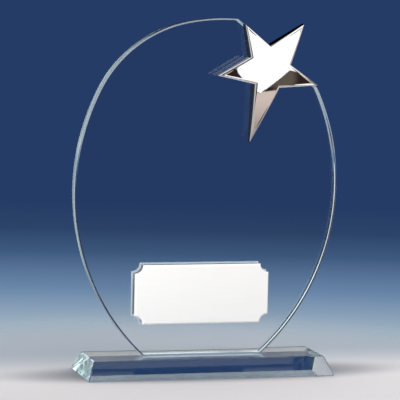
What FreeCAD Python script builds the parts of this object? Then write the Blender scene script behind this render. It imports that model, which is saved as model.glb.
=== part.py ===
import FreeCAD, Part
import math
import os

import Sketcher
from FreeCAD import Placement, Rotation, Vector

# Star trophy: an oval pane of clear glass stands on its flat foot on a bevelled glass base.
# Its upper right is cut off straight, and a domed metal star is bonded over the cut, with one
# arm reaching past the glass. A metal plate for engraving is bonded low on the front, and a
# thin plate of the same outline on the rear face hides its adhesive from behind.
# Millimetres, +Z up, the front faces -Y, origin at the middle of the base's underside.

DIMENSIONS = {
    # glass base: a block bevelled on all four sides
    "base_length": 143.0,
    "base_depth": 48.0,
    "base_height": 10.5,
    "end_bevel": 4.5,  # how far each end leans in at the top
    "face_bevel": 7.0,  # how far the front and the back lean in at the top
    "base_arris": 0.5,
    # glass pane: a crown arc between two flank arcs, flat foot, straight cut at the upper right
    "pane_thickness": 8.0,
    "crown_radius": 71.0,
    "crown_level": 129.0,  # of the crown's centre
    "half_width": 76.4,
    "widest_level": 105.0,
    "lean_angle": 1.2,  # the oval leans to the right
    "brow_radius": 112.0,  # the flatter arc from the crown to the cut
    "brow_start": -13.5,
    "cut_angle": 38.9,  # of the cut below level
    "cut_reach": 65.3,  # from the crown's centre to the cut
    "pane_arris": 0.7,
    "foot_film": 0.2,  # adhesive between the foot and the base
    "film_length": 65.0,
    # star: each arm and each notch between arms by its angle from +X and its reach
    "star_across": 32.2,
    "star_level": 173.7,
    "star_height": 9.5,
    "dome_radius": 130.0,
    "apex_across": -1.5,  # the dome's highest point, from the star's centre
    "apex_up": -4.0,
    "rim_break": 0.4,
    "right_angle": -18.5,
    "right_reach": 31.0,
    "upper_angle": 50.0,
    "upper_reach": 32.4,
    "crown_angle": 120.0,
    "crown_reach": 28.0,
    "left_angle": 189.0,
    "left_reach": 29.5,
    "tail_angle": 257.0,
    "tail_reach": 43.0,
    "right_notch": 9.5,
    "upper_notch": 89.5,
    "left_notch": 151.5,
    "lower_notch": 227.0,
    "tail_notch": 298.0,
    "notch_reach": 12.5,
    "core_depth": 3.0,  # recess in the star's back
    "core_tip_inset": 9.0,
    "core_notch_inset": 2.6,
    "star_tape": 0.5,
    "tape_tip_inset": 4.0,
    "tape_notch_inset": 1.2,
    "tape_margin": 1.5,  # from the tape to the pane's cut
    # engraving plate with hollow corners
    "plate_across": -2.5,
    "plate_level": 45.5,
    "plate_width": 78.0,
    "plate_tall": 33.6,
    "plate_thickness": 1.5,
    "plate_bevel": 0.8,
    "corner_radius": 4.8,
    "plate_tape": 0.4,
    "plate_tape_inset": 1.6,
    # backing plate on the rear face, a little larger all round
    "backing_margin": 0.6,
    "backing_thickness": 0.6,
    "backing_bevel": 0.3,
    "backing_tape": 0.2,
    "backing_tape_inset": 0.9,
}

ARMS = ("right", "upper", "crown", "left", "tail")
NOTCHES = ("right_notch", "upper_notch", "left_notch", "lower_notch", "tail_notch")
STANDING = Rotation(Vector(1, 0, 0), 90)  # a piece drawn flat stands up and faces -Y
TRIM_SPAN = 80.0  # a trimming sketch reaches well past the piece it trims
DOME_SPAN = 46.0  # from the dome's apex to past the longest arm
DOME_TURN = 50.0  # degrees that the dome's section sweeps, also past the longest arm
DOME_LID = 12.0  # height of the cleared space over the dome's apex
STOCK = 0.5  # the star's blank stands this far above the dome
TOUCH = 0.01  # points closer than this count as one

doc = FreeCAD.newDocument("StarTrophy")


def make_sheet():
    """The driving dimensions, one per row: a label and the value with its alias."""
    sheet = doc.addObject("Spreadsheet::Sheet", "Dims")
    for row, (name, value) in enumerate(DIMENSIONS.items(), 1):
        sheet.set(f"A{row}", name.replace("_", " "))
        sheet.set(f"B{row}", str(value))
        sheet.setAlias(f"B{row}", name)
    doc.recompute()
    return sheet


def new_body(name):
    body = doc.addObject("PartDesign::Body", name)
    body.Label = name
    return body


def plane(body, role):
    return next(f for f in body.Origin.OriginFeatures if f.Role == role)


def new_sketch(body, name, role="XY_Plane"):
    sketch = body.newObject("Sketcher::SketchObject", name)
    sketch.AttachmentSupport = [(plane(body, role), "")]
    sketch.MapMode = "FlatFace"
    return sketch


def bind(sketch, kind, places, value, expression):
    """A dimension of the sketch that follows the sheet."""
    index = sketch.addConstraint(Sketcher.Constraint(kind, *places, value))
    sketch.setExpression(f"Constraints[{index}]", expression)


def bind_point(sketch, edge, point, here, across, up):
    """Holds one point of the sketch at (across, up), given as expressions."""
    bind(sketch, "DistanceX", (-1, 1, edge, point), here.x, across)
    bind(sketch, "DistanceY", (-1, 1, edge, point), here.y, up)


def join_ends(sketch, edges):
    """Joins each edge's end to the next edge's start, round a closed outline."""
    for edge, following in zip(edges, edges[1:] + edges[:1]):
        sketch.addConstraint(Sketcher.Constraint("Coincident", edge, 2, following, 1))


def polygon(sketch, corners):
    """A closed outline of straight edges, with each corner given as two expressions."""
    turn = 2 * math.pi / len(corners)
    start = [Vector(math.cos(i * turn), math.sin(i * turn)) * 10 for i in range(len(corners))]
    edges = [sketch.addGeometry(Part.LineSegment(start[i - 1], start[i])) for i in range(len(start))]
    join_ends(sketch, edges)
    for edge, here, (across, up) in zip(edges, start, corners):
        bind_point(sketch, edge, 2, here, across, up)


def pad(body, sketch, length, name, symmetric=False):
    feature = body.newObject("PartDesign::Pad", name)
    feature.Profile = sketch
    if symmetric:
        feature.SideType = "Symmetric"
    feature.setExpression("Length", length)
    doc.recompute()
    return feature


def edges_where(feature, test):
    """Names of the feature's edges whose every vertex passes the test."""
    return [
        f"Edge{i}"
        for i, edge in enumerate(feature.Shape.Edges, 1)
        if all(test(vertex.Point) for vertex in edge.Vertexes)
    ]


def bevel(body, base, edges, size):
    """A chamfer of those edges whose size follows the sheet."""
    feature = body.newObject("PartDesign::Chamfer", f"{base.Name}Bevel")
    feature.Base = (base, edges)
    feature.setExpression("Size", size)
    doc.recompute()
    return feature


def stand(body, across, towards_back, up):
    """Stands a body up, with the place of its drawing's origin given as expressions."""
    body.Placement = Placement(Vector(), STANDING)
    body.setExpression("Placement.Base.x", across)
    body.setExpression("Placement.Base.y", towards_back)
    body.setExpression("Placement.Base.z", up)


def make_base():
    """The block: a wedge that narrows upwards on all four sides, with a small arris on every edge."""
    body = new_body("glass_base")
    block = body.newObject("PartDesign::AdditiveWedge", "Block")
    limits = {
        "Xmax": "Dims.base_length / 2",
        "Zmax": "Dims.base_depth / 2",
        "X2max": "Dims.base_length / 2 - Dims.end_bevel",
        "Z2max": "Dims.base_depth / 2 - Dims.face_bevel",
    }
    for limit, expression in limits.items():
        block.setExpression(limit, expression)
        block.setExpression(limit.replace("max", "min"), f"-({expression})")
    block.Ymin = 0
    block.setExpression("Ymax", "Dims.base_height")
    doc.recompute()
    bevel(body, block, edges_where(block, lambda p: True), "Dims.base_arris")
    stand(body, "0", "0", "0")
    return body


def crown_centre():
    """Where the crown arc's centre lies in the pane's drawing."""
    rise = DIMENSIONS["crown_level"] - DIMENSIONS["widest_level"]
    lean = math.radians(DIMENSIONS["lean_angle"])
    return Vector(rise * math.tan(lean), DIMENSIONS["crown_level"])


def arc(centre, radius, start, end):
    circle = Part.Circle(centre, Vector(0, 0, 1), radius)
    return Part.ArcOfCircle(circle, start, end)


def draw_pane(sketch):
    """The oval: its arcs meet tangentially, and its axis leans about its widest level."""
    size = DIMENSIONS
    lean = math.radians(size["lean_angle"])
    middle = Vector(0, size["widest_level"])
    crown = crown_centre()
    rise = (crown - middle).Length
    wide, round_top = size["half_width"], size["crown_radius"]
    flank = (rise**2 + wide**2 - round_top**2) / (2 * (wide - round_top))
    breadth = Vector(math.cos(lean), -math.sin(lean)) * (flank - wide)
    right_centre, left_centre = middle - breadth, middle + breadth
    foot = size["base_height"] + size["foot_film"]

    right_join = math.atan2(*reversed((crown - right_centre)[:2]))
    left_join = math.atan2(*reversed((crown - left_centre)[:2]))
    cut_normal = math.pi / 2 - math.radians(size["cut_angle"])
    cut_low = cut_normal - math.acos(size["cut_reach"] / round_top)
    brow = size["brow_radius"]
    brow_end = math.pi / 2 + math.asin((crown.x - size["brow_start"]) / round_top)
    brow_offset = Vector(math.cos(brow_end), math.sin(brow_end)) * (round_top - brow)
    brow_centre = crown + brow_offset
    along_normal = brow_offset.x * math.cos(cut_normal) + brow_offset.y * math.sin(cut_normal)
    brow_cut = cut_normal + math.acos((size["cut_reach"] - along_normal) / brow)
    right_foot = -math.asin((right_centre.y - foot) / flank)
    left_foot = math.pi + math.asin((left_centre.y - foot) / flank)

    def at(centre, radius, angle):
        return centre + Vector(math.cos(angle), math.sin(angle)) * radius

    brow_arc = sketch.addGeometry(arc(brow_centre, brow, brow_cut, brow_end))
    upper_arc = sketch.addGeometry(arc(crown, round_top, brow_end, left_join))
    left_flank = sketch.addGeometry(arc(left_centre, flank, left_join, left_foot))
    foot_ends = at(left_centre, flank, left_foot), at(right_centre, flank, right_foot)
    foot_line = sketch.addGeometry(Part.LineSegment(*foot_ends))
    right_flank = sketch.addGeometry(arc(right_centre, flank, right_foot, right_join))
    lower_arc = sketch.addGeometry(arc(crown, round_top, right_join, cut_low))
    cut_ends = at(crown, round_top, cut_low), at(brow_centre, brow, brow_cut)
    cut_line = sketch.addGeometry(Part.LineSegment(*cut_ends))
    breadth_line = sketch.addGeometry(Part.LineSegment(right_centre, left_centre), True)
    axis_line = sketch.addGeometry(Part.LineSegment(middle, crown), True)

    rule = Sketcher.Constraint
    straights = ((left_flank, foot_line, right_flank), (lower_arc, cut_line, brow_arc))
    for before, straight, after in straights:
        sketch.addConstraint(rule("Coincident", before, 2, straight, 1))
        sketch.addConstraint(rule("Coincident", straight, 2, after, 1))
    sketch.addConstraint(rule("Tangent", brow_arc, 2, upper_arc, 1))
    sketch.addConstraint(rule("Tangent", upper_arc, 2, left_flank, 1))
    sketch.addConstraint(rule("Tangent", right_flank, 2, lower_arc, 1))
    sketch.addConstraint(rule("Coincident", upper_arc, 3, axis_line, 2))
    sketch.addConstraint(rule("Coincident", lower_arc, 3, axis_line, 2))
    sketch.addConstraint(rule("Equal", upper_arc, lower_arc))
    sketch.addConstraint(rule("Equal", left_flank, right_flank))
    sketch.addConstraint(rule("Coincident", right_flank, 3, breadth_line, 1))
    sketch.addConstraint(rule("Coincident", left_flank, 3, breadth_line, 2))
    sketch.addConstraint(rule("PointOnObject", axis_line, 1, breadth_line))
    sketch.addConstraint(rule("Perpendicular", breadth_line, axis_line))
    sketch.addConstraint(rule("PointOnObject", axis_line, 1, -2))
    sketch.addConstraint(rule("Horizontal", foot_line))
    bind(sketch, "DistanceY", (-1, 1, axis_line, 1), middle.y, "Dims.widest_level")
    rise_rule = "(Dims.crown_level - Dims.widest_level)"
    across_rule = f"{rise_rule} * tan(Dims.lean_angle * 1 deg)"
    bind_point(sketch, axis_line, 2, crown, across_rule, "Dims.crown_level")
    bind(sketch, "Radius", (upper_arc,), round_top, "Dims.crown_radius")
    bind(sketch, "Radius", (brow_arc,), brow, "Dims.brow_radius")
    bind(sketch, "DistanceX", (-1, 1, upper_arc, 1), size["brow_start"], "Dims.brow_start")
    flank_rule = (
        f"(({rise_rule} / cos(Dims.lean_angle * 1 deg)) ^ 2"
        " + Dims.half_width ^ 2 - Dims.crown_radius ^ 2)"
        " / (2 * (Dims.half_width - Dims.crown_radius))"
    )
    bind(sketch, "Radius", (left_flank,), flank, flank_rule)
    bind(sketch, "DistanceY", (-1, 1, foot_line, 1), foot, "Dims.base_height + Dims.foot_film")
    bind(sketch, "Distance", (axis_line, 2, cut_line), size["cut_reach"], "Dims.cut_reach")
    cut_turn = math.pi - math.radians(size["cut_angle"])
    bind(sketch, "Angle", (cut_line,), cut_turn, "180 deg - Dims.cut_angle * 1 deg")


def make_pane():
    """The oval pane, with a small ground arris round both faces."""
    body = new_body("glass_pane")
    sketch = new_sketch(body, "Oval")
    draw_pane(sketch)
    slab = pad(body, sketch, "Dims.pane_thickness", "Slab", symmetric=True)
    half = DIMENSIONS["pane_thickness"] / 2
    front = edges_where(slab, lambda p: p.z > half - TOUCH)
    back = edges_where(slab, lambda p: p.z < TOUCH - half)
    bevel(body, slab, front + back, "Dims.pane_arris")
    stand(body, "0", "0", "0")
    return body


def make_foot_film():
    """The clear adhesive film that the pane's foot stands on, inside the foot's arris."""
    film = doc.addObject("Part::Box", "pane_bond")
    film.Label = "pane_bond"
    film.setExpression("Length", "Dims.film_length")
    film.setExpression("Width", "Dims.pane_thickness - 2 * Dims.pane_arris")
    film.setExpression("Height", "Dims.foot_film")
    drop = "(Dims.widest_level - Dims.base_height - Dims.foot_film)"
    foot_middle = f"-{drop} * tan(Dims.lean_angle * 1 deg)"
    film.setExpression("Placement.Base.x", f"{foot_middle} - Dims.film_length / 2")
    film.setExpression("Placement.Base.y", "Dims.pane_arris - Dims.pane_thickness / 2")
    film.setExpression("Placement.Base.z", "Dims.base_height")
    return film


def star_outline(sketch, tip_inset="0", notch_inset="0"):
    """Five arms and five notches by angle and reach, drawn in by the two insets."""
    corners = []
    for arm, notch in zip(ARMS, NOTCHES):
        tip = f"(Dims.{arm}_reach - {tip_inset})", f"Dims.{arm}_angle"
        valley = f"(Dims.notch_reach - {notch_inset})", f"Dims.{notch}"
        for reach, angle in (tip, valley):
            corners.append((f"{reach} * cos({angle} * 1 deg)", f"{reach} * sin({angle} * 1 deg)"))
    polygon(sketch, corners)


def dome_cutter(body):
    """A section through the space over the dome, drawn from the middle of the dome's sphere."""
    sketch = new_sketch(body, "DomeSection", "XZ_Plane")
    sketch.setExpression("AttachmentOffset.Base.x", "Dims.apex_across")
    sketch.setExpression("AttachmentOffset.Base.y", "Dims.star_height - Dims.dome_radius")
    sketch.setExpression("AttachmentOffset.Base.z", "-Dims.apex_up")
    radius = DIMENSIONS["dome_radius"]
    half_turn = math.asin(DOME_SPAN / radius)
    dome = sketch.addGeometry(
        arc(Vector(), radius, math.pi / 2 - half_turn, math.pi / 2 + half_turn)
    )
    left, right = sketch.getPoint(dome, 2), sketch.getPoint(dome, 1)
    lid_left, lid_right = Vector(left.x, radius + DOME_LID), Vector(right.x, radius + DOME_LID)
    left_side = sketch.addGeometry(Part.LineSegment(left, lid_left))
    lid = sketch.addGeometry(Part.LineSegment(lid_left, lid_right))
    right_side = sketch.addGeometry(Part.LineSegment(lid_right, right))
    join_ends(sketch, [dome, left_side, lid, right_side])
    sketch.addConstraint(Sketcher.Constraint("Coincident", dome, 3, -1, 1))
    for side in (left_side, right_side):
        sketch.addConstraint(Sketcher.Constraint("Vertical", side))
    sketch.addConstraint(Sketcher.Constraint("Symmetric", dome, 1, dome, 2, -2))
    bind(sketch, "Radius", (dome,), radius, "Dims.dome_radius")
    bind(sketch, "DistanceX", (dome, 2, dome, 1), 2 * DOME_SPAN, str(2 * DOME_SPAN))
    bind(sketch, "DistanceY", (-1, 1, lid, 1), lid_left.y, f"Dims.dome_radius + {DOME_LID}")
    sketch.addConstraint(Sketcher.Constraint("Horizontal", lid))
    return sketch


def make_star():
    """A star with straight sides, a domed front with its rim broken, and a recess in its back."""
    body = new_body("star")
    outline = new_sketch(body, "StarOutline")
    star_outline(outline)
    blank = pad(body, outline, f"Dims.star_height + {STOCK}", "StarBlank")
    dome = body.newObject("PartDesign::Groove", "Dome")
    dome.Profile = dome_cutter(body)
    dome.ReferenceAxis = (dome.Profile[0], ["H_Axis"])
    dome.Angle = DOME_TURN
    dome.Midplane = True
    doc.recompute()
    if dome.Shape.Volume >= blank.Shape.Volume:
        raise RuntimeError("the dome cut nothing off the star")
    rim = edges_where(dome, lambda p: p.z > TOUCH)
    broken = bevel(body, dome, rim, "Dims.rim_break")
    core_outline = new_sketch(body, "CoreOutline")
    star_outline(core_outline, "Dims.core_tip_inset", "Dims.core_notch_inset")
    core = body.newObject("PartDesign::Pocket", "Core")
    core.Profile = core_outline
    core.Reversed = True
    core.setExpression("Length", "Dims.core_depth")
    doc.recompute()
    if core.Shape.Volume >= broken.Shape.Volume:
        raise RuntimeError("the recess cut nothing out of the star")
    stand(body, "Dims.star_across", "-Dims.pane_thickness / 2 - Dims.star_tape", "Dims.star_level")
    return body


def make_star_tape():
    """The adhesive behind the star, trimmed clear of the pane's straight cut."""
    body = new_body("star_bond")
    outline = new_sketch(body, "TapeOutline")
    star_outline(outline, "Dims.tape_tip_inset", "Dims.tape_notch_inset")
    sheet = pad(body, outline, "Dims.star_tape", "StarTape")
    trim = new_sketch(body, "TrimOutline")
    crown_across = "(Dims.crown_level - Dims.widest_level) * tan(Dims.lean_angle * 1 deg)"
    sine, cosine = "sin(Dims.cut_angle * 1 deg)", "cos(Dims.cut_angle * 1 deg)"
    star_out = (
        f"((Dims.star_across - {crown_across}) * {sine}"
        f" + (Dims.star_level - Dims.crown_level) * {cosine})"
    )
    near = f"(Dims.cut_reach - Dims.tape_margin - {star_out})"
    far = f"({near} + {TRIM_SPAN})"
    corners = []
    for out, along in ((near, -TRIM_SPAN), (near, TRIM_SPAN), (far, TRIM_SPAN), (far, -TRIM_SPAN)):
        across = f"{out} * {sine} + {along} * {cosine}"
        up = f"{out} * {cosine} - {along} * {sine}"
        corners.append((across, up))
    polygon(trim, corners)
    cut = body.newObject("PartDesign::Pocket", "Trim")
    cut.Profile = trim
    cut.Type = "ThroughAll"
    cut.Reversed = True
    doc.recompute()
    if cut.Shape.Volume >= sheet.Shape.Volume:
        raise RuntimeError("the trim cut nothing off the star's tape")
    stand(body, "Dims.star_across", "-Dims.pane_thickness / 2", "Dims.star_level")
    return body


def plate_outline(sketch, inset):
    """A rectangle whose corners are hollowed by quarter circles about the corners themselves."""
    half_wide = f"(Dims.plate_width / 2 - {inset})"
    half_tall = f"(Dims.plate_tall / 2 - {inset})"
    wide, tall = DIMENSIONS["plate_width"] / 2, DIMENSIONS["plate_tall"] / 2
    hollow = DIMENSIONS["corner_radius"]
    quarter = math.pi / 2
    arcs = []
    for turn, (side, rise) in enumerate(((-1, -1), (1, -1), (1, 1), (-1, 1))):
        corner = Vector(side * wide, rise * tall)
        arcs.append(sketch.addGeometry(arc(corner, hollow, turn * quarter, (turn + 1) * quarter)))
        across = half_wide if side > 0 else f"-{half_wide}"
        up = half_tall if rise > 0 else f"-{half_tall}"
        bind_point(sketch, arcs[-1], 3, corner, across, up)
        level, upright = (1, 2) if turn % 2 == 0 else (2, 1)
        sketch.addConstraint(Sketcher.Constraint("Horizontal", arcs[-1], 3, arcs[-1], level))
        sketch.addConstraint(Sketcher.Constraint("Vertical", arcs[-1], 3, arcs[-1], upright))
    bind(sketch, "Radius", (arcs[0],), hollow, "Dims.corner_radius")
    for other in arcs[1:]:
        sketch.addConstraint(Sketcher.Constraint("Equal", arcs[0], other))
    for here, following in zip(arcs, arcs[1:] + arcs[:1]):
        ends = [sketch.getPoint(here, 1), sketch.getPoint(following, 2)]
        edge = sketch.addGeometry(Part.LineSegment(*ends))
        sketch.addConstraint(Sketcher.Constraint("Coincident", edge, 1, here, 1))
        sketch.addConstraint(Sketcher.Constraint("Coincident", edge, 2, following, 2))


def make_plate():
    """The engraving plate, bevelled round its front."""
    body = new_body("engraving_plate")
    outline = new_sketch(body, "PlateOutline")
    plate_outline(outline, "0")
    blank = pad(body, outline, "Dims.plate_thickness", "PlateBlank")
    front = edges_where(blank, lambda p: p.z > DIMENSIONS["plate_thickness"] / 2)
    bevel(body, blank, front, "Dims.plate_bevel")
    stand(body, "Dims.plate_across", "-Dims.pane_thickness / 2 - Dims.plate_tape", "Dims.plate_level")
    return body


def make_plate_tape():
    """The adhesive sheet behind the engraving plate."""
    body = new_body("plate_adhesive")
    outline = new_sketch(body, "SheetOutline")
    plate_outline(outline, "Dims.plate_tape_inset")
    pad(body, outline, "Dims.plate_tape", "PlateTape")
    stand(body, "Dims.plate_across", "-Dims.pane_thickness / 2", "Dims.plate_level")
    return body


def make_backing():
    """The thin plate on the pane's rear face, bevelled round its outer side."""
    body = new_body("backing_plate")
    outline = new_sketch(body, "BackingOutline")
    plate_outline(outline, "(-Dims.backing_margin)")
    blank = pad(body, outline, "Dims.backing_thickness", "BackingBlank")
    rear = edges_where(blank, lambda p: p.z < DIMENSIONS["backing_thickness"] / 2)
    bevel(body, blank, rear, "Dims.backing_bevel")
    behind = "Dims.pane_thickness / 2 + Dims.backing_tape + Dims.backing_thickness"
    stand(body, "Dims.plate_across", behind, "Dims.plate_level")
    return body


def make_backing_tape():
    """The adhesive sheet between the rear face and the backing plate."""
    body = new_body("backing_adhesive")
    outline = new_sketch(body, "BackingSheetOutline")
    plate_outline(outline, "(Dims.backing_tape_inset - Dims.backing_margin)")
    pad(body, outline, "Dims.backing_tape", "BackingTape")
    stand(body, "Dims.plate_across", "Dims.pane_thickness / 2 + Dims.backing_tape", "Dims.plate_level")
    return body


def check_and_export(pieces):
    """Stops on any failed object or bad solid, then writes one STEP file per piece."""
    doc.recompute()
    failed = [o.Label for o in doc.Objects if {"Invalid", "Error"} & set(o.State)]
    if failed:
        raise RuntimeError(f"failed objects: {failed}")
    loose = [o.Label for o in doc.Objects if o.isDerivedFrom("Sketcher::SketchObject") and o.solve()]
    if loose:
        raise RuntimeError(f"unsolved sketches: {loose}")
    for piece in pieces:
        if piece.Shape.isNull() or not piece.Shape.isValid() or len(piece.Shape.Solids) != 1:
            raise RuntimeError(f"{piece.Label} is not one valid solid")
    os.makedirs("parts", exist_ok=True)
    for piece in pieces:
        piece.Shape.exportStep(f"parts/{piece.Label}.step")
        box = piece.Shape.optimalBoundingBox()
        print(
            f"{piece.Label}: x {box.XMin:.2f} to {box.XMax:.2f}, y {box.YMin:.2f} to {box.YMax:.2f},"
            f" z {box.ZMin:.2f} to {box.ZMax:.2f}, {piece.Shape.Volume:.1f} mm3"
        )


make_sheet()
check_and_export(
    [
        make_base(),
        make_foot_film(),
        make_pane(),
        make_star(),
        make_star_tape(),
        make_plate(),
        make_plate_tape(),
        make_backing(),
        make_backing_tape(),
    ]
)
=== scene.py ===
import math

import bmesh
import bpy
from mathutils import Matrix, Vector


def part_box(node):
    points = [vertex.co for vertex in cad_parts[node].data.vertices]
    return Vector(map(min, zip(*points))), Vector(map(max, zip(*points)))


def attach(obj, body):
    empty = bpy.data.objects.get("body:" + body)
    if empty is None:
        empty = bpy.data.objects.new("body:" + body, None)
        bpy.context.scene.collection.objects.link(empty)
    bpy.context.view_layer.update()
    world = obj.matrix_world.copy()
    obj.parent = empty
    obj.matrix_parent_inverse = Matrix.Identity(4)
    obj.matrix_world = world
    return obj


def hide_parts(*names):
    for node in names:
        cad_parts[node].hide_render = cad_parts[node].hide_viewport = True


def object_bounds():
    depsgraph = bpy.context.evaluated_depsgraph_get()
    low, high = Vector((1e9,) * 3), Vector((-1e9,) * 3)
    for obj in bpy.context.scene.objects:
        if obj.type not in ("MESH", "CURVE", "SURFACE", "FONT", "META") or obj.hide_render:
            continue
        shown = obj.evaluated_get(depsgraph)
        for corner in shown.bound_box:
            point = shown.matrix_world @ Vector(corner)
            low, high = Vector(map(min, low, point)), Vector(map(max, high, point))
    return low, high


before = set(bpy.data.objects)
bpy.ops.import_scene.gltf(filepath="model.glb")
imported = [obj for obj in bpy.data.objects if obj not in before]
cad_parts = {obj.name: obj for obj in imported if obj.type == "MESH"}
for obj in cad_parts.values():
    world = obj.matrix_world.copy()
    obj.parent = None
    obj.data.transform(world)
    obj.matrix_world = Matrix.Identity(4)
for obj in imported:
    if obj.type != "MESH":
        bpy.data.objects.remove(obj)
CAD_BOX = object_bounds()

# Star trophy: a clear oval pane on a bevelled base, a chrome star and an engraving plate.
# Metres, in the CAD frame: +Z up, the front faces -Y. Outlines are drawn in the (x, z) plane.

MM = 0.001

# Pane
CROWN_RADIUS = 71.0 * MM
CROWN_LEVEL = 129.0 * MM  # of the crown's centre
HALF_WIDTH = 76.4 * MM
WIDEST_LEVEL = 105.0 * MM
LEAN = math.radians(1.2)  # the oval leans to the right
BROW_RADIUS = 112.0 * MM  # the flatter arc from the crown to the cut
BROW_START = -13.5 * MM
CUT_ANGLE = math.radians(38.9)  # of the straight cut below level
CUT_REACH = 65.3 * MM  # from the crown's centre to the cut
PANE_ARRIS = 0.7 * MM
ARC_STEPS = 72  # per arc of the pane's outline

# Base, measured at its sharp lower edges
BASE_HALF = Vector((71.5 * MM, 24.0 * MM))
END_BEVEL = 4.5 * MM
FACE_BEVEL = 7.0 * MM
BASE_ARRIS = 0.5 * MM

# Star: each arm and each notch between arms, by its angle from +X and its reach
ARMS = (
    (math.radians(-18.5), 31.0 * MM),
    (math.radians(50.0), 32.4 * MM),
    (math.radians(120.0), 28.0 * MM),
    (math.radians(189.0), 29.5 * MM),
    (math.radians(257.0), 43.0 * MM),
)
NOTCHES = tuple(math.radians(angle) for angle in (9.5, 89.5, 151.5, 227.0, 298.0))
NOTCH_REACH = 12.5 * MM
STAR_CENTRE = Vector((32.2 * MM, 173.7 * MM))
DOME_RADIUS = 130.0 * MM
DOME_APEX = Vector((-1.5 * MM, -4.0 * MM))  # from the star's centre
RIM_ROUND = 1.3 * MM
DOME_INSET = 1.2 * RIM_ROUND  # of the dome's last ring, just inside the rounded rim
RIM_STEPS = 8
DOME_RINGS = 18
SIDE_STEPS = 16  # along each side of an arm
CORE_DEPTH = 3.0 * MM  # recess in the star's back
CORE_INSETS = 9.0 * MM, 2.6 * MM  # at the tips and at the notches
TAPE_INSETS = 4.0 * MM, 1.2 * MM
TAPE_MARGIN = 1.5 * MM  # from the tape to the pane's cut
TAPE_STEPS = 4  # along each side of the star's tape

# Plates
PLATE_BEVEL = 0.8 * MM
BACKING_BEVEL = 0.3 * MM
BEVEL_LIP = 0.12  # share of a bevel's width over which it rolls into the plate's side
HOLLOW_RADIUS = 4.8 * MM
HOLLOW_STEPS = 14
TAPE_ROUND = 0.1 * MM

# Film under the pane
FILM_CORNER = 0.8 * MM
FILM_CORNER_STEPS = 6
FILM_HOLLOW = 0.06 * MM  # depth of its slightly hollow free edge

GAP = 0.01 * MM  # clear space left where two solids only touch

# Glass
GLASS_IOR = 1.52
FILM_IOR = 1.5
BONDED_IOR = 1.0  # where two solids are joined, light passes straight on
GLASS_TINT = (0.25, 0.86, 0.72, 1)
TINT_DENSITY = 1.6  # per metre of glass
ARRIS_BLUE = (0.34, 0.45, 0.62, 1)
WHITE = (1, 1, 1, 1)


# ---------------------------------------------------------------- node graphs


class Graph:
    """Adds nodes to one node tree and links them."""

    def __init__(self, tree):
        self.tree = tree
        tree.nodes.clear()

    def add(self, kind, **settings):
        """Adds a node with those settings."""
        node = self.tree.nodes.new(kind)
        for name, value in settings.items():
            setattr(node, name, value)
        return node

    def feed(self, socket, value):
        """Links an output to the socket, or sets its plain value."""
        if isinstance(value, bpy.types.NodeSocket):
            self.tree.links.new(value, socket)
        else:
            socket.default_value = value

    def math(self, operation, *values):
        """A sum on one to three numbers."""
        node = self.add("ShaderNodeMath", operation=operation)
        for socket, value in zip(node.inputs, values):
            self.feed(socket, value)
        return node.outputs[0]

    def vector(self, operation, *values):
        """A sum on one or two vectors; LENGTH and DOT_PRODUCT give a number."""
        node = self.add("ShaderNodeVectorMath", operation=operation)
        for socket, value in zip(node.inputs, values):
            self.feed(socket, value)
        return node.outputs["Value" if operation in ("LENGTH", "DOT_PRODUCT") else "Vector"]

    def split(self, vector):
        """The x, y and z of a vector."""
        node = self.add("ShaderNodeSeparateXYZ")
        self.feed(node.inputs[0], vector)
        return node.outputs

    def fade(self, value, low, high, first=0.0, last=1.0, easing="SMOOTHSTEP"):
        """Goes from first to last as the value goes from low to high, and stays there."""
        node = self.add("ShaderNodeMapRange", interpolation_type=easing)
        for socket, number in zip(node.inputs, (value, low, high, first, last)):
            self.feed(socket, number)
        return node.outputs[0]

    def mix(self, share, first, second):
        """The first colour, or the second where the share is 1."""
        node = self.add("ShaderNodeMix", data_type="RGBA")
        self.feed(node.inputs["Factor"], share)
        self.feed(node.inputs[6], first)
        self.feed(node.inputs[7], second)
        return node.outputs[2]

    def ramp(self, value, stops):
        """A colour ramp; each stop is a place from 0 to 1 and its colour."""
        node = self.add("ShaderNodeValToRGB")
        elements = node.color_ramp.elements
        while len(elements) < len(stops):
            elements.new(0.5)
        for element, (place, colour) in zip(elements, stops):
            element.position = place
            element.color = colour
        self.feed(node.inputs[0], value)
        return node.outputs[0]

    def noise(self, cells, stretch=(1, 1, 1), detail=3.0):
        """Noise of about that many cells per metre, in the piece's own place."""
        place = self.add("ShaderNodeTexCoord")
        mapping = self.add("ShaderNodeMapping")
        mapping.inputs["Scale"].default_value = stretch
        self.feed(mapping.inputs["Vector"], place.outputs["Object"])
        node = self.add("ShaderNodeTexNoise")
        self.feed(node.inputs["Vector"], mapping.outputs[0])
        node.inputs["Scale"].default_value = cells
        node.inputs["Detail"].default_value = detail
        return node.outputs["Fac"]

    def bump(self, height, distance):
        """A normal for a surface that the height, from 0 to 1, raises by up to the distance."""
        node = self.add("ShaderNodeBump")
        node.inputs["Distance"].default_value = distance
        self.feed(node.inputs["Height"], height)
        return node.outputs[0]


def srgb(red, green, blue):
    """A colour given in 0-255 display values."""

    def linear(value):
        """One channel as Blender wants it."""
        share = value / 255
        return share / 12.92 if share <= 0.04045 else ((share + 0.055) / 1.055) ** 2.4

    return linear(red), linear(green), linear(blue), 1.0


def bare_material(name):
    """A material with nothing but an output."""
    material = bpy.data.materials.new(name)
    material.use_nodes = True
    graph = Graph(material.node_tree)
    return material, graph, graph.add("ShaderNodeOutputMaterial")


def new_material(name):
    """A material with a Principled shader."""
    material, graph, output = bare_material(name)
    shader = graph.add("ShaderNodeBsdfPrincipled")
    graph.feed(output.inputs["Surface"], shader.outputs[0])
    return material, graph, shader, output


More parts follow.
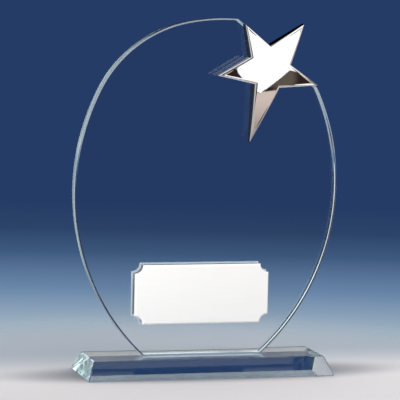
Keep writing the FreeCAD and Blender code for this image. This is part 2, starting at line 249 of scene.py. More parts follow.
def glass_material(name, ior, smudge, tone=WHITE):
    """Clear float glass with a green tint in its depth and smudges of up to that roughness."""
    material, graph, shader, output = new_material(name)
    shader.inputs["Base Color"].default_value = tone
    shader.inputs["Transmission Weight"].default_value = 1.0
    shader.inputs["IOR"].default_value = ior
    marks = graph.noise(cells=90.0, detail=5.0)
    graph.feed(shader.inputs["Roughness"], graph.fade(marks, 0.55, 0.8, first=0.0, last=smudge))
    tint = graph.add("ShaderNodeVolumeAbsorption")
    tint.inputs["Color"].default_value = GLASS_TINT
    tint.inputs["Density"].default_value = TINT_DENSITY
    graph.feed(output.inputs["Volume"], tint.outputs[0])
    return material


def chrome_material():
    """Mirror plating over a casting that is not quite true, with faint fingermarks."""
    material, graph, shader, _ = new_material("chrome_plate")
    marks = graph.noise(cells=160.0, detail=6.0)
    tone = graph.mix(marks, (0.84, 0.84, 0.85, 1), (0.9, 0.9, 0.9, 1))
    graph.feed(shader.inputs["Base Color"], tone)
    shader.inputs["Metallic"].default_value = 1.0
    graph.feed(shader.inputs["Roughness"], graph.fade(marks, 0.4, 0.8, first=0.015, last=0.06))
    wave = graph.noise(cells=70.0, detail=1.0)
    graph.feed(shader.inputs["Normal"], graph.bump(wave, distance=0.02 * MM))
    return material


def casting_material():
    """The unpolished back of the star."""
    material, graph, shader, _ = new_material("cast_back")
    grain = graph.noise(cells=900.0, detail=6.0)
    tone = graph.mix(grain, (0.42, 0.42, 0.43, 1), (0.6, 0.6, 0.61, 1))
    graph.feed(shader.inputs["Base Color"], tone)
    shader.inputs["Metallic"].default_value = 1.0
    graph.feed(shader.inputs["Roughness"], graph.fade(grain, 0.3, 0.7, first=0.3, last=0.55))
    graph.feed(shader.inputs["Normal"], graph.bump(grain, distance=0.15 * MM))
    return material


def satin_material():
    """Aluminium with a fine satin grain along the plate."""
    material, graph, shader, _ = new_material("satin_face")
    grain = graph.noise(cells=500.0, stretch=(0.08, 1, 3), detail=4.0)
    cloud = graph.noise(cells=25.0, detail=2.0)
    tone = graph.mix(grain, (0.86, 0.86, 0.855, 1), (0.92, 0.915, 0.905, 1))
    graph.feed(shader.inputs["Base Color"], tone)
    shader.inputs["Metallic"].default_value = 0.15
    graph.feed(shader.inputs["Roughness"], graph.fade(cloud, 0.3, 0.7, first=0.42, last=0.5))
    graph.feed(shader.inputs["Normal"], graph.bump(grain, distance=0.01 * MM))
    return material


def bright_rim_material():
    """The diamond-cut bevel round a plate."""
    material, graph, shader, _ = new_material("bright_rim")
    lines = graph.noise(cells=700.0, detail=3.0)
    graph.feed(shader.inputs["Base Color"], graph.mix(lines, (0.97, 0.97, 0.97, 1), WHITE))
    shader.inputs["Metallic"].default_value = 0.1
    graph.feed(shader.inputs["Roughness"], graph.fade(lines, 0.3, 0.7, first=0.12, last=0.2))
    return material


def primer_painted_glow_material():
    """The pale lacquer on the glued side of the rear plate, with a painted blue reflection and glow.
    """
    material, graph, shader, _ = new_material("pale_primer_painted_glow")
    grain = graph.noise(cells=400.0, detail=4.0)
    # Pale lacquer tinted blue: the blue is a painted reflection of the blue surround
    tone = graph.mix(grain, (0.8, 0.88, 0.97, 1), (0.86, 0.93, 1, 1))
    graph.feed(shader.inputs["Base Color"], tone)
    # Painted glow: the plate lights itself to stand for light that the pane carries to it
    shader.inputs["Emission Color"].default_value = (0.6, 0.78, 1, 1)
    shader.inputs["Emission Strength"].default_value = 0.35  # light that the pane carries to it
    shader.inputs["Roughness"].default_value = 0.5
    graph.feed(shader.inputs["Normal"], graph.bump(grain, distance=0.01 * MM))
    return material


def tape_material():
    """Pale foam tape with an open, slightly uneven face."""
    material, graph, shader, _ = new_material("mounting_tape")
    foam = graph.noise(cells=1500.0, detail=4.0)
    tone = graph.mix(foam, (0.62, 0.64, 0.66, 1), (0.76, 0.77, 0.78, 1))
    graph.feed(shader.inputs["Base Color"], tone)
    shader.inputs["Roughness"].default_value = 0.55
    graph.feed(shader.inputs["Normal"], graph.bump(foam, distance=0.05 * MM))
    return material


def paint(piece, *materials):
    """Gives the piece its materials, in the order of its faces' indices."""
    for material in materials:
        piece.data.materials.append(material)


# ---------------------------------------------------------------- outlines


def sweep(centre, radius, start, end, steps):
    """Points along an arc from the start angle to the end angle."""
    angles = [start + (end - start) * i / steps for i in range(steps + 1)]
    return [centre + Vector((math.cos(a), math.sin(a))) * radius for a in angles]


PANE_LOW, PANE_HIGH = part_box("glass_pane")
FILM_LOW, FILM_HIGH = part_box("pane_bond")
CROWN_RISE = CROWN_LEVEL - WIDEST_LEVEL
CROWN_CENTRE = Vector((CROWN_RISE * math.tan(LEAN), CROWN_LEVEL))
CUT_NORMAL = Vector((math.sin(CUT_ANGLE), math.cos(CUT_ANGLE)))
STAR_LOW, STAR_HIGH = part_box("star")
STAR_HEIGHT = STAR_HIGH.y - STAR_LOW.y


def pane_outline(inset):
    """The oval drawn in by the inset, the numbers of its corners and that of the film's first end."""
    # Each flank arc has its widest place at that level, and runs smoothly into the crown
    middle = Vector((0, WIDEST_LEVEL))
    rise = CROWN_RISE / math.cos(LEAN)
    flank = (rise**2 + HALF_WIDTH**2 - CROWN_RADIUS**2) / (2 * (HALF_WIDTH - CROWN_RADIUS))
    breadth = Vector((math.cos(LEAN), -math.sin(LEAN))) * (flank - HALF_WIDTH)
    right_centre, left_centre = middle - breadth, middle + breadth
    foot = PANE_LOW.z + inset
    crown_radius, flank_radius = CROWN_RADIUS - inset, flank - inset
    right_join = math.atan2(*reversed(CROWN_CENTRE - right_centre))
    left_join = math.atan2(*reversed(CROWN_CENTRE - left_centre))
    cut_low = math.pi / 2 - CUT_ANGLE - math.acos((CUT_REACH - inset) / crown_radius)
    brow_end = math.pi / 2 + math.asin((CROWN_CENTRE.x - BROW_START) / CROWN_RADIUS)
    brow_offset = Vector((math.cos(brow_end), math.sin(brow_end))) * (CROWN_RADIUS - BROW_RADIUS)
    brow_radius = BROW_RADIUS - inset
    brow_reach = CUT_REACH - inset - brow_offset.dot(CUT_NORMAL)
    brow_cut = math.pi / 2 - CUT_ANGLE + math.acos(brow_reach / brow_radius)
    right_foot = -math.asin((right_centre.y - foot) / flank_radius)
    left_foot = math.pi + math.asin((left_centre.y - foot) / flank_radius)
    # The outline runs anticlockwise, from the cut's upper end round to its lower end
    brow = sweep(CROWN_CENTRE + brow_offset, brow_radius, brow_cut, brow_end, ARC_STEPS // 2)
    upper = sweep(CROWN_CENTRE, crown_radius, brow_end, left_join, ARC_STEPS)
    left = sweep(left_centre, flank_radius, left_join, left_foot, ARC_STEPS)
    film = [Vector((FILM_LOW.x, foot)), Vector((FILM_HIGH.x, foot))]
    right = sweep(right_centre, flank_radius, right_foot, right_join, ARC_STEPS)
    lower = sweep(CROWN_CENTRE, crown_radius, right_join, cut_low, ARC_STEPS)
    points = brow + upper[1:] + left[1:]
    left_end = len(points) - 1
    points += film + right + lower[1:]
    corners = {0, left_end, left_end + 3, len(points) - 1}
    return points, corners, left_end + 1


def star_outline(tip_inset=0.0, notch_inset=0.0):
    """Arm tips and notches in turn, from the star's centre, drawn in by the two insets."""
    points = []
    for (angle, reach), notch in zip(ARMS, NOTCHES):
        points.append(Vector((math.cos(angle), math.sin(angle))) * (reach - tip_inset))
        points.append(Vector((math.cos(notch), math.sin(notch))) * (NOTCH_REACH - notch_inset))
    return points


def drawn_in(points, inset):
    """A closed outline with each side moved in by the inset."""
    moved = []
    for before, here, after in zip(points[-1:] + points[:-1], points, points[1:] + points[:1]):
        first, second = (here - before).normalized(), (after - here).normalized()
        first_in, second_in = Vector((-first.y, first.x)), Vector((-second.y, second.x))
        moved.append(here + (first_in + second_in) * inset / (1 + first_in.dot(second_in)))
    return moved


def divided(points, steps):
    """A closed outline with each side cut into equal steps."""
    sides = zip(points, points[1:] + points[:1])
    return [a.lerp(b, i / steps) for a, b in sides for i in range(steps)]


def clipped(points, normal, limit):
    """The part of a closed outline on the near side of a straight line."""
    kept = []
    for here, after in zip(points, points[1:] + points[:1]):
        here_over, after_over = here.dot(normal) - limit, after.dot(normal) - limit
        if here_over <= 0:
            kept.append(here)
        if here_over * after_over < 0:
            kept.append(here.lerp(after, here_over / (here_over - after_over)))
    return kept


def plate_outline(low, high, inset):
    """A plate's outline with hollow corners, drawn in by the inset, with its corners' numbers."""
    radius = HOLLOW_RADIUS + inset
    edge = math.asin(inset / radius)
    box_corners = (low.x, low.z), (high.x, low.z), (high.x, high.z), (low.x, high.z)
    points = []
    for turn, corner in enumerate(box_corners):
        quarter = turn * math.pi / 2
        start, end = quarter + math.pi / 2 - edge, quarter + edge
        points += sweep(Vector(corner), radius, start, end, HOLLOW_STEPS)
    corners = {i for i in range(len(points)) if i % (HOLLOW_STEPS + 1) in (0, HOLLOW_STEPS)}
    return points, corners


# ---------------------------------------------------------------- solids


def finish_mesh(name, mesh):
    """Makes the piece from its mesh, with every face turned outwards."""
    bmesh.ops.recalc_face_normals(mesh, faces=mesh.faces)
    data = bpy.data.meshes.new(name)
    mesh.to_mesh(data)
    mesh.free()
    piece = bpy.data.objects.new(name, data)
    bpy.context.scene.collection.objects.link(piece)
    return piece


def band(mesh, first, second, corners=(), material=0):
    """Smooth faces between two closed loops of vertices, sharp along the corners."""
    faces = []
    for i in range(len(first)):
        faces.append(mesh.faces.new((first[i - 1], first[i], second[i], second[i - 1])))
        faces[-1].smooth = True
        faces[-1].material_index = material
    for i in corners:
        mesh.edges.get((first[i], second[i])).smooth = False
    return faces


def crease(mesh, loop):
    """Makes the edges of a closed loop of vertices sharp."""
    for i in range(len(loop)):
        mesh.edges.get((loop[i - 1], loop[i])).smooth = False


def slab(layers, corners, band_materials, cap_materials=(0, 0)):
    """A closed solid through layers of (outline, y) from front to back, sharp along each layer."""
    mesh = bmesh.new()
    loops = [[mesh.verts.new((p.x, y, p.y)) for p in points] for points, y in layers]
    for first, second, material in zip(loops, loops[1:], band_materials):
        band(mesh, first, second, corners, material)
    for loop, material in ((loops[0], cap_materials[0]), (loops[-1], cap_materials[1])):
        mesh.faces.new(loop).material_index = material
    for loop in loops:
        crease(mesh, loop)
    return mesh


def make_pane():
    """The oval pane: two flat faces, a polished rim and a fine arris along each edge."""
    inner, corners, film_end = pane_outline(PANE_ARRIS)
    outer = pane_outline(GAP)[0]
    layers = (
        (inner, PANE_LOW.y),
        (outer, PANE_LOW.y + PANE_ARRIS),
        (outer, PANE_HIGH.y - PANE_ARRIS),
        (inner, PANE_HIGH.y),
    )
    mesh = slab(layers, corners, (1, 0, 1))
    mesh.faces.ensure_lookup_table()
    bonded = mesh.faces[len(outer) + film_end + 1]  # the rim's strip that stands on the film
    bonded.material_index = 2
    piece = finish_mesh("oval_pane", mesh)
    paint(piece, clear_glass, ground_arris, bonded_glass)
    return piece


def make_base():
    """The bevelled block, with the patch of its top that the pane is bonded to."""
    low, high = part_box("glass_base")
    mesh = bmesh.new()
    rings = []
    for z, end, face in ((low.z, 0.0, 0.0), (high.z, END_BEVEL, FACE_BEVEL)):
        x, y = BASE_HALF.x - end, BASE_HALF.y - face
        sides = (-1, -1), (1, -1), (1, 1), (-1, 1)
        rings.append([mesh.verts.new((a * x, b * y, z)) for a, b in sides])
    mesh.faces.new(rings[0])
    mesh.faces.new(rings[1])
    for i in range(4):
        mesh.faces.new((rings[0][i - 1], rings[0][i], rings[1][i], rings[1][i - 1]))
    bmesh.ops.recalc_face_normals(mesh, faces=mesh.faces)
    arris = bmesh.ops.bevel(
        mesh,
        geom=mesh.edges[:],
        offset=BASE_ARRIS,
        offset_type="OFFSET",
        segments=1,
        affect="EDGES",
    )
    for face in arris["faces"]:
        face.material_index = 1
    top = max(mesh.faces, key=lambda f: f.calc_center_median().z)
    corners = [loop.vert for loop in top.loops]
    mesh.faces.remove(top)
    middle = Vector(((FILM_LOW.x + FILM_HIGH.x) / 2, (FILM_LOW.y + FILM_HIGH.y) / 2))
    half = Vector(((FILM_HIGH.x - FILM_LOW.x) / 2, (FILM_HIGH.y - FILM_LOW.y) / 2))
    patch = []
    for corner in corners:
        side = Vector((math.copysign(half.x, corner.co.x), math.copysign(half.y, corner.co.y)))
        patch.append(mesh.verts.new((middle.x + side.x, middle.y + side.y, corner.co.z)))
    for i in range(4):
        mesh.faces.new((corners[i - 1], corners[i], patch[i], patch[i - 1]))
    mesh.faces.new(patch).material_index = 2
    piece = finish_mesh("bevelled_base", mesh)
    paint(piece, clear_glass, ground_arris, bonded_glass)
    return piece


def make_film():
    """The cured adhesive between the pane's foot and the base."""
    x, y = (FILM_LOW.x + FILM_HIGH.x) / 2, (FILM_LOW.y + FILM_HIGH.y) / 2
    corner_x = (FILM_HIGH.x - FILM_LOW.x) / 2 - GAP - FILM_CORNER
    corner_y = (FILM_HIGH.y - FILM_LOW.y) / 2 - GAP - FILM_CORNER
    waist = (FILM_LOW.z + FILM_HIGH.z) / 2
    mesh = bmesh.new()
    loops = []
    for z, hollow in ((FILM_LOW.z + GAP, 0.0), (waist, FILM_HOLLOW), (FILM_HIGH.z - GAP, 0.0)):
        loop = []
        for turn, (a, b) in enumerate(((1, 1), (-1, 1), (-1, -1), (1, -1))):
            centre = Vector((x + a * corner_x, y + b * corner_y))
            start, end = turn * math.pi / 2, (turn + 1) * math.pi / 2
            for p in sweep(centre, FILM_CORNER - hollow, start, end, FILM_CORNER_STEPS):
                loop.append(mesh.verts.new((p.x, p.y, z)))
        loops.append(loop)
    for first, second in zip(loops, loops[1:]):
        band(mesh, first, second)
    for loop in (loops[0], loops[-1]):
        mesh.faces.new(loop).material_index = 1
        crease(mesh, loop)
    piece = finish_mesh("foot_film", mesh)
    paint(piece, film_edge, bonded_film)
    return piece


def dome_depth(point):
    """How far the dome stands in front of the star's back, at a place from the star's centre."""
    away = (point - DOME_APEX).length
    return STAR_HEIGHT - DOME_RADIUS + math.sqrt(DOME_RADIUS**2 - away**2)


def make_star():
    """A domed star with a rounded rim, upright sides and a cast recess in its back."""
    mesh = bmesh.new()
    back = STAR_HIGH.y

    def ring(points, depths):
        """Vertices at those places from the star's centre, and depths in front of its back."""
        return [
            mesh.verts.new((STAR_CENTRE.x + p.x, back - depth, STAR_CENTRE.y + p.y))
            for p, depth in zip(points, depths)
        ]

    outline = star_outline()
    inner = divided(drawn_in(outline, DOME_INSET), SIDE_STEPS)
    corners = range(0, len(inner), SIDE_STEPS)
    loops = []
    for i in range(1, DOME_RINGS + 1):
        points = [p * i / DOME_RINGS for p in inner]
        loops.append(ring(points, [dome_depth(p) for p in points]))
    top = divided(drawn_in(outline, RIM_ROUND), SIDE_STEPS)
    for i in range(RIM_STEPS + 1):
        turn = math.pi / 2 * i / RIM_STEPS
        points = divided(drawn_in(outline, RIM_ROUND * (1 - math.sin(turn))), SIDE_STEPS)
        drop = RIM_ROUND * (1 - math.cos(turn))
        loops.append(ring(points, [dome_depth(p) - drop for p in top]))
    wall = divided(outline, SIDE_STEPS)
    loops.append(ring(wall, [0.0] * len(wall)))
    centre = ring([Vector((0, 0))], [dome_depth(Vector((0, 0)))])[0]
    for i in range(len(loops[0])):
        mesh.faces.new((centre, loops[0][i - 1], loops[0][i])).smooth = True
    for number, (first, second) in enumerate(zip(loops, loops[1:])):
        sharp = corners if number >= DOME_RINGS else ()
        band(mesh, first, second, sharp)
    core = divided(star_outline(*CORE_INSETS), SIDE_STEPS)
    mouth, floor = ring(core, [0.0] * len(core)), ring(core, [CORE_DEPTH] * len(core))
    cast = band(mesh, loops[-1], mouth, material=1)
    cast += band(mesh, mouth, floor, corners, material=1)
    for face in cast:
        face.smooth = False
    hub = ring([Vector((0, 0))], [CORE_DEPTH])[0]
    for i in range(len(floor)):
        mesh.faces.new((hub, floor[i - 1], floor[i])).material_index = 1
    for loop in (loops[-1], mouth, floor):
        crease(mesh, loop)
    piece = finish_mesh("chrome_star", mesh)
    paint(piece, chrome, casting)
    return piece


def make_star_tape():
    """The tape behind the star, trimmed clear of the pane's cut."""
    low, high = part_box("star_bond")
    placed = [p + STAR_CENTRE for p in star_outline(*TAPE_INSETS)]
    limit = CROWN_CENTRE.dot(CUT_NORMAL) + CUT_REACH - TAPE_MARGIN
    outline = divided(clipped(placed, CUT_NORMAL, limit), TAPE_STEPS)
    mesh = tape_slab(outline, drawn_in(outline, TAPE_ROUND), low.y, high.y)
    piece = finish_mesh("star_tape", mesh)
    paint(piece, tape)
    return piece


def tape_slab(outline, inner, front, rear):
    """A sheet of tape whose cut edge bulges slightly."""
    front, rear = front + GAP, rear - GAP
    quarter = (rear - front) / 4
    layers = ((inner, front), (outline, front + quarter), (outline, rear - quarter), (inner, rear))
    return slab(layers, (), (0, 0, 0))


def make_plate(name, node, bevel, faces_back, materials):
    """A plate with hollow corners and a bevel round its show face.

    Its materials are those of the show face, the bevel and sides, and the glued side.
    """
    low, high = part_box(node)
    outer, corners = plate_outline(low, high, 0.0)
    lip = plate_outline(low, high, bevel * BEVEL_LIP)[0]
    slope = plate_outline(low, high, bevel)[0]
    depth = high.y - low.y
    heights = ((slope, 0.0), (lip, bevel * (1 - BEVEL_LIP)), (outer, bevel), (outer, depth))
    layers = [(points, high.y - d if faces_back else low.y + d) for points, d in heights]
    mesh = slab(layers, corners, (1, 1, 1), (0, 2))
    piece = finish_mesh(name, mesh)
    paint(piece, *materials)
    return piece


def make_plate_tape(name, node):
    """A sheet of tape of a plate's outline, in its own node's box."""
    low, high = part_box(node)
    outline = plate_outline(low, high, 0.0)[0]
    inner = plate_outline(low, high, TAPE_ROUND)[0]
    piece = finish_mesh(name, tape_slab(outline, inner, low.y, high.y))
    paint(piece, tape)
    return piece


def stand_for(piece, node):
    """Puts the piece in the place of a CAD node, on the part's only body."""
    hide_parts(node)
    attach(piece, "root")


# ---------------------------------------------------------------- studio

VIEW_AZIMUTH = math.radians(-15.5)
VIEW_ELEVATION = math.radians(6.0)
VIEW_ROLL = math.radians(1.23)
VIEW_DISTANCE = 1.4105
VIEW_TARGET = Vector((-3.3 * MM, 0, 98.3 * MM))
VIEW_END = 20.0  # the furthest that the camera sees
LENS_MM = 225.0

# A place in the studio is an azimuth and an elevation from the object, in degrees: azimuth 0 is
# in front of it and 90 is to its right. A pair of limits says from where to where a tone changes.

# What is seen past the object, or through it
NAVY = srgb(37, 60, 102)
WALL_WHITE = (0.80, 0.81, 0.82, 1)
OVERHEAD = (1.25, 1.25, 1.25, 1)
FLOOR_PALE = srgb(217, 217, 219)
SURROUND_SIDES = 42.0, 58.0  # away from straight behind the object in the photo's view
SURROUND_TOP = 14.0, 26.0
OVERHEAD_RISE = 20.0, 40.0
FLOOR_RISE = -14.0, -8.0
# The blue surround pales towards the floor: elevation and colour
SURROUND = (
    (-10.4, FLOOR_PALE),
    (-9.4, srgb(174, 183, 192)),
    (-8.9, srgb(155, 175, 192)),
    (-8.06, srgb(105, 134, 169)),
    (-7.24, srgb(62, 90, 127)),
    (-6.7, srgb(45, 68, 105)),
    (-6.1, NAVY),
)

# What the outer faces mirror: a dark room with grey sides over a table
TABLE_NEAR = srgb(140, 134, 130)
TABLE_FAR = srgb(217, 200, 190)
TABLE_RISE = -38.0, -13.0
TABLE_EDGE = -14.1, -13.4
TABLE_TILT = 9.0  # its edge rises by this from the middle to the right, and falls to the left
ROOM_DARK = srgb(44, 36, 34)
ROOM_BROWN = srgb(96, 88, 78)
ROOM_GLOW = 26.0, -5.0  # the middle of the brown part
GLOW_LIMITS = 4.0, 9.0
ROOM_SIDE = srgb(178, 180, 184)
LEFT_SIDE = 45.0, 65.0  # away from straight left
RIGHT_SIDE = 12.0, 30.0  # away from straight right

# What is seen by rays that were turned back inside the glass before they left it
RIM_BLUE = srgb(112, 132, 165)
RIM_RISE = -15.0, -11.0
BACK_DARK = srgb(28, 34, 50)
BACK_LEFT = -164.5, -3.0  # where upright faces across the view mirror it
BACK_LIMITS = 16.0, 34.0
MIRRORED_VIEW = 15.5, -6.0  # where the pane's faces mirror the camera's view
VIEW_LIMITS = 25.0, 45.0

# Floor: its limits are in metres from its middle
FLOOR_RADIUS = 0.26
FLOOR_STEPS = 96
FLOOR_DROP = 0.1 * MM
FLOOR_END = 0.1, 0.25  # where it fades out
FLOOR_FRONT = srgb(234, 231, 233)
# Painted shade: the floor goes darker and bluer towards the back, where the light falls off
FLOOR_REAR_SHADE = srgb(176, 185, 196)
FLOOR_DEPTH = -0.02, 0.08  # along y
SHADE = srgb(152, 155, 163)
SHADE_SPREAD = (8.5, 32.0, 0.0)  # turns a place into a share of the shade's reach
SHADE_LIMITS = 0.55, 1.2  # of that share
# Painted light: a pale blue patch under the base, for light that comes through the glass
UNDER_BASE_LIGHT = srgb(204, 216, 232)  # seen through the base
UNDER_ENDS = 0.066, 0.073  # along x
UNDER_SIDES = 0.020, 0.0245  # along y

# Lit panels: their corners' places, as seen from the star's front
PANEL_AWAY = 4.0
SOFTBOX = (
    (13.6, -12.2),
    (29.0, -0.7),
    (33.6, -1.6),
    (38.0, -3.0),
    (40.5, -1.5),
    (56.0, 18.0),
    (75.0, 50.0),
    (85.0, 85.0),
    (-95.0, 85.0),
    (-5.0, 50.0),
    (0.0, 1.5),
    (0.9, -2.0),
    (3.2, -4.6),
    (6.5, -6.2),
    (9.9, -7.6),
    (11.3, -11.0),
)
SOFTBOX_RADIANCE = 1.25
RIM_LIGHT = (-188.0, -30.0), (-142.0, -30.0), (-142.0, 48.0), (-188.0, 48.0)
RIM_RADIANCE = 1.5
RIM_TONE = (0.62, 0.76, 0.82, 1)
RIM_SOFT = 0.4
PLATE_FILL = (-75.0, -50.0), (-30.0, -50.0), (-30.0, 20.0), (-75.0, 20.0)
FILL_RADIANCE = 2.6
FILL_AWAY = 0.5

# The most bounces of a ray, because glass needs more than the usual number
ALL_BOUNCES = 40
GLASS_BOUNCES = 32


def direction(azimuth, elevation):
    """Unit vector from the object towards a place in the studio, given in radians."""
    flat = math.cos(elevation)
    return Vector((math.sin(azimuth) * flat, -math.cos(azimuth) * flat, math.sin(elevation)))


def place_at(azimuth, elevation):
    """Unit vector from the object towards a place in the studio, given in degrees."""
    return direction(math.radians(azimuth), math.radians(elevation))


def make_camera():
    """The photo's view."""
    back = direction(VIEW_AZIMUTH, VIEW_ELEVATION)
    right = Vector((0, 0, 1)).cross(back).normalized()
    up = back.cross(right)
    axis_x = right * math.cos(VIEW_ROLL) + up * math.sin(VIEW_ROLL)
    axis_y = up * math.cos(VIEW_ROLL) - right * math.sin(VIEW_ROLL)
    camera = bpy.data.objects.new("photo_view", bpy.data.cameras.new("photo_view"))
    camera.data.lens = LENS_MM
    camera.data.clip_end = VIEW_END
    turn = Matrix((axis_x, axis_y, back)).transposed().to_4x4()
    camera.matrix_world = Matrix.Translation(VIEW_TARGET + back * VIEW_DISTANCE) @ turn
    bpy.context.scene.collection.objects.link(camera)
    bpy.context.scene.camera = camera


def make_world():
    """The surroundings, whose colour depends on the ray that meets them.

    Mirror rays meet the dark room. Rays from the camera, straight or through the glass, meet
    the blue surround, or the inner tones if they were turned back inside the glass. All other
    rays meet white.
    """
    world = bpy.data.worlds.new("studio")
    world.use_nodes = True
    world.cycles.sampling_method = "NONE"
    bpy.context.scene.world = world
    g = Graph(world.node_tree)
    place = g.add("ShaderNodeTexCoord").outputs["Generated"]
    x, y, z = g.split(place)
    elevation = g.math("DEGREES", g.math("ARCSINE", z))
    flat = g.add("ShaderNodeCombineXYZ")
    g.feed(flat.inputs[0], x)
    g.feed(flat.inputs[1], y)
    facing = g.vector("NORMALIZE", flat.outputs[0])

    def degrees_from(ray, middle):
        """Degrees between two unit vectors."""
        cosine = g.math("MINIMUM", g.vector("DOT_PRODUCT", ray, middle), 1.0)
        return g.math("DEGREES", g.math("ARCCOSINE", cosine))

    lowest, highest = SURROUND[0][0], SURROUND[-1][0]
    stops = [((rise - lowest) / (highest - lowest), colour) for rise, colour in SURROUND]
    blue = g.ramp(g.fade(elevation, lowest, highest, easing="LINEAR"), stops)
    from_behind = degrees_from(facing, direction(VIEW_AZIMUTH + math.pi, 0))
    behind = g.fade(from_behind, *SURROUND_SIDES, first=1.0, last=0.0)
    under_top = g.fade(elevation, *SURROUND_TOP, first=1.0, last=0.0)
    pale = g.mix(g.fade(elevation, *OVERHEAD_RISE), WALL_WHITE, OVERHEAD)
    pale = g.mix(g.fade(elevation, *FLOOR_RISE, first=1.0, last=0.0), pale, FLOOR_PALE)
    seen = g.mix(g.math("MULTIPLY", behind, under_top), pale, blue)

    table = g.mix(g.fade(elevation, *TABLE_RISE), TABLE_NEAR, TABLE_FAR)
    from_glow = degrees_from(place, place_at(*ROOM_GLOW))
    room = g.mix(g.fade(from_glow, *GLOW_LIMITS), ROOM_BROWN, ROOM_DARK)
    left = g.fade(degrees_from(facing, place_at(-90, 0)), *LEFT_SIDE, first=1.0, last=0.0)
    right = g.fade(degrees_from(facing, place_at(90, 0)), *RIGHT_SIDE, first=1.0, last=0.0)
    room = g.mix(g.math("MAXIMUM", left, right), room, ROOM_SIDE)
    over_table = g.math("SUBTRACT", elevation, g.math("MULTIPLY", x, TABLE_TILT))
    mirrored = g.mix(g.fade(over_table, *TABLE_EDGE), table, room)

    over_rim = g.fade(elevation, *RIM_RISE)
    from_back = degrees_from(place, place_at(*BACK_LEFT))
    from_view = degrees_from(place, place_at(*MIRRORED_VIEW))
    inner = g.mix(over_rim, RIM_BLUE, seen)
    inner = g.mix(g.fade(from_back, *BACK_LIMITS), BACK_DARK, inner)
    inner = g.mix(over_rim, RIM_BLUE, inner)
    inner = g.mix(g.fade(from_view, *VIEW_LIMITS), ROOM_DARK, inner)

    ray = g.add("ShaderNodeLightPath").outputs
    looked_at = g.math("MAXIMUM", ray["Is Camera Ray"], ray["Is Transmission Ray"])
    turned_back = g.math("GREATER_THAN", ray["Glossy Depth"], 0.5)  # once or more
    colour = g.mix(ray["Is Glossy Ray"], WHITE, mirrored)
    colour = g.mix(looked_at, colour, g.mix(turned_back, seen, inner))
    background = g.add("ShaderNodeBackground")
    g.feed(background.inputs["Color"], colour)
    output = g.add("ShaderNodeOutputWorld")
    g.feed(output.inputs["Surface"], background.outputs[0])


def make_floor():
    """A pale floor that fades out around the object, so that it has no edge.

    Clear glass casts almost no shadow here, so a painted shadow round the base is in its colour,
    with painted light under the base and painted shade darkening it towards the back.
    """
    mesh = bmesh.new()
    bmesh.ops.create_circle(mesh, cap_ends=True, segments=FLOOR_STEPS, radius=FLOOR_RADIUS)
    floor = finish_mesh("floor", mesh)
    floor.location.z = CAD_BOX[0].z - FLOOR_DROP
    material, g, output = bare_material("pale_floor")
    place = g.add("ShaderNodeTexCoord").outputs["Object"]
    x, y, _ = g.split(place)
    # Painted shade, darker towards the back
    tone = g.mix(g.fade(y, *FLOOR_DEPTH), FLOOR_FRONT, FLOOR_REAR_SHADE)
    shaded = g.vector("LENGTH", g.vector("MULTIPLY", place, SHADE_SPREAD))
    tone = g.mix(g.fade(shaded, *SHADE_LIMITS), SHADE, tone)
    # Painted light under the base, laid over the painted shadow
    within_ends = g.fade(g.math("ABSOLUTE", x), *UNDER_ENDS, first=1.0, last=0.0)
    within_sides = g.fade(g.math("ABSOLUTE", y), *UNDER_SIDES, first=1.0, last=0.0)
    tone = g.mix(g.math("MULTIPLY", within_ends, within_sides), tone, UNDER_BASE_LIGHT)
    diffuse = g.add("ShaderNodeBsdfDiffuse")
    g.feed(diffuse.inputs["Color"], tone)
    clear = g.add("ShaderNodeBsdfTransparent")
    blend = g.add("ShaderNodeMixShader")
    g.feed(blend.inputs[0], g.fade(g.vector("LENGTH", place), *FLOOR_END))
    g.feed(blend.inputs[1], diffuse.outputs[0])
    g.feed(blend.inputs[2], clear.outputs[0])
    g.feed(output.inputs["Surface"], blend.outputs[0])
    paint(floor, material)


def make_panel(name, corners, radiance, receivers, away=PANEL_AWAY, tone=WHITE, soft=0.0):
    """A lit panel, out of the camera's sight, whose light reaches only the receivers.

    Its light dies away towards its edges over the soft share of its width and height.
    """
    mesh = bmesh.new()
    middle = Vector((STAR_CENTRE.x, STAR_LOW.y, STAR_CENTRE.y))
    mesh.faces.new([mesh.verts.new(middle + place_at(*corner) * away) for corner in corners])
    panel = finish_mesh(name, mesh)
    material, g, output = bare_material(name)
    glow = g.add("ShaderNodeEmission")
    glow.inputs["Color"].default_value = tone
    glow.inputs["Strength"].default_value = radiance
    if soft:
        x, _, z = g.split(g.add("ShaderNodeTexCoord").outputs["Generated"])
        strength = radiance
        for side in (x, z):
            inwards = g.math("MINIMUM", side, g.math("SUBTRACT", 1.0, side))
            strength = g.math("MULTIPLY", strength, g.fade(inwards, 0.0, soft))
        g.feed(glow.inputs["Strength"], strength)
    g.feed(output.inputs["Surface"], glow.outputs[0])
    paint(panel, material)
    panel.visible_camera = False
    panel.visible_transmission = False
    panel.visible_shadow = False
    lit = bpy.data.collections.new(name)
    for piece in receivers:
        lit.objects.link(piece)
    panel.light_linking.receiver_collection = lit
    return panel


# ---------------------------------------------------------------- the object

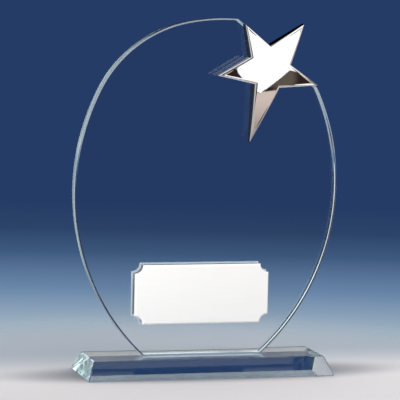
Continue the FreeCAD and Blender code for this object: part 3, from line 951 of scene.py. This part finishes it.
clear_glass = glass_material("clear_glass", GLASS_IOR, smudge=0.02)
ground_arris = glass_material("ground_arris", GLASS_IOR, smudge=0.12, tone=ARRIS_BLUE)
bonded_glass = glass_material("bonded_glass", BONDED_IOR, smudge=0.0)
film_edge = glass_material("film_edge", FILM_IOR, smudge=0.05)
bonded_film = glass_material("bonded_film", BONDED_IOR, smudge=0.0)
chrome = chrome_material()
casting = casting_material()
satin = satin_material()
bright_rim = bright_rim_material()
primer_painted_glow = primer_painted_glow_material()
tape = tape_material()

pane = make_pane()
base = make_base()
film = make_film()
star = make_star()
star_tape = make_star_tape()
# The rear plate's glued side has a painted reflection and a painted glow
plate_finish, backing_finish_painted_glow = (satin, bright_rim, satin), (satin, bright_rim, primer_painted_glow)
plate = make_plate("name_plate", "engraving_plate", PLATE_BEVEL, False, plate_finish)
backing = make_plate("rear_plate", "backing_plate", BACKING_BEVEL, True, backing_finish_painted_glow)
plate_tape = make_plate_tape("plate_tape", "plate_adhesive")
backing_tape = make_plate_tape("rear_tape", "backing_adhesive")

stand_for(pane, "glass_pane")
stand_for(base, "glass_base")
stand_for(film, "pane_bond")
stand_for(star, "star")
stand_for(star_tape, "star_bond")
stand_for(plate, "engraving_plate")
stand_for(backing, "backing_plate")
stand_for(plate_tape, "plate_adhesive")
stand_for(backing_tape, "backing_adhesive")

make_world()
make_floor()
# The softbox and the rim light only show in reflections, and the fill never does
softbox = make_panel("softbox", SOFTBOX, SOFTBOX_RADIANCE, (star, plate, backing))
softbox.visible_diffuse = False
rim_light = make_panel(
    "rim_light", RIM_LIGHT, RIM_RADIANCE, (pane, base), tone=RIM_TONE, soft=RIM_SOFT
)
rim_light.visible_diffuse = False
fill = make_panel("plate_fill", PLATE_FILL, FILL_RADIANCE, (plate, backing), away=FILL_AWAY)
fill.visible_glossy = False
make_camera()

scene = bpy.context.scene
scene.view_settings.view_transform = "Standard"
scene.cycles.max_bounces = ALL_BOUNCES
scene.cycles.glossy_bounces = GLASS_BOUNCES
scene.cycles.transmission_bounces = GLASS_BOUNCES
scene.cycles.transparent_max_bounces = GLASS_BOUNCES
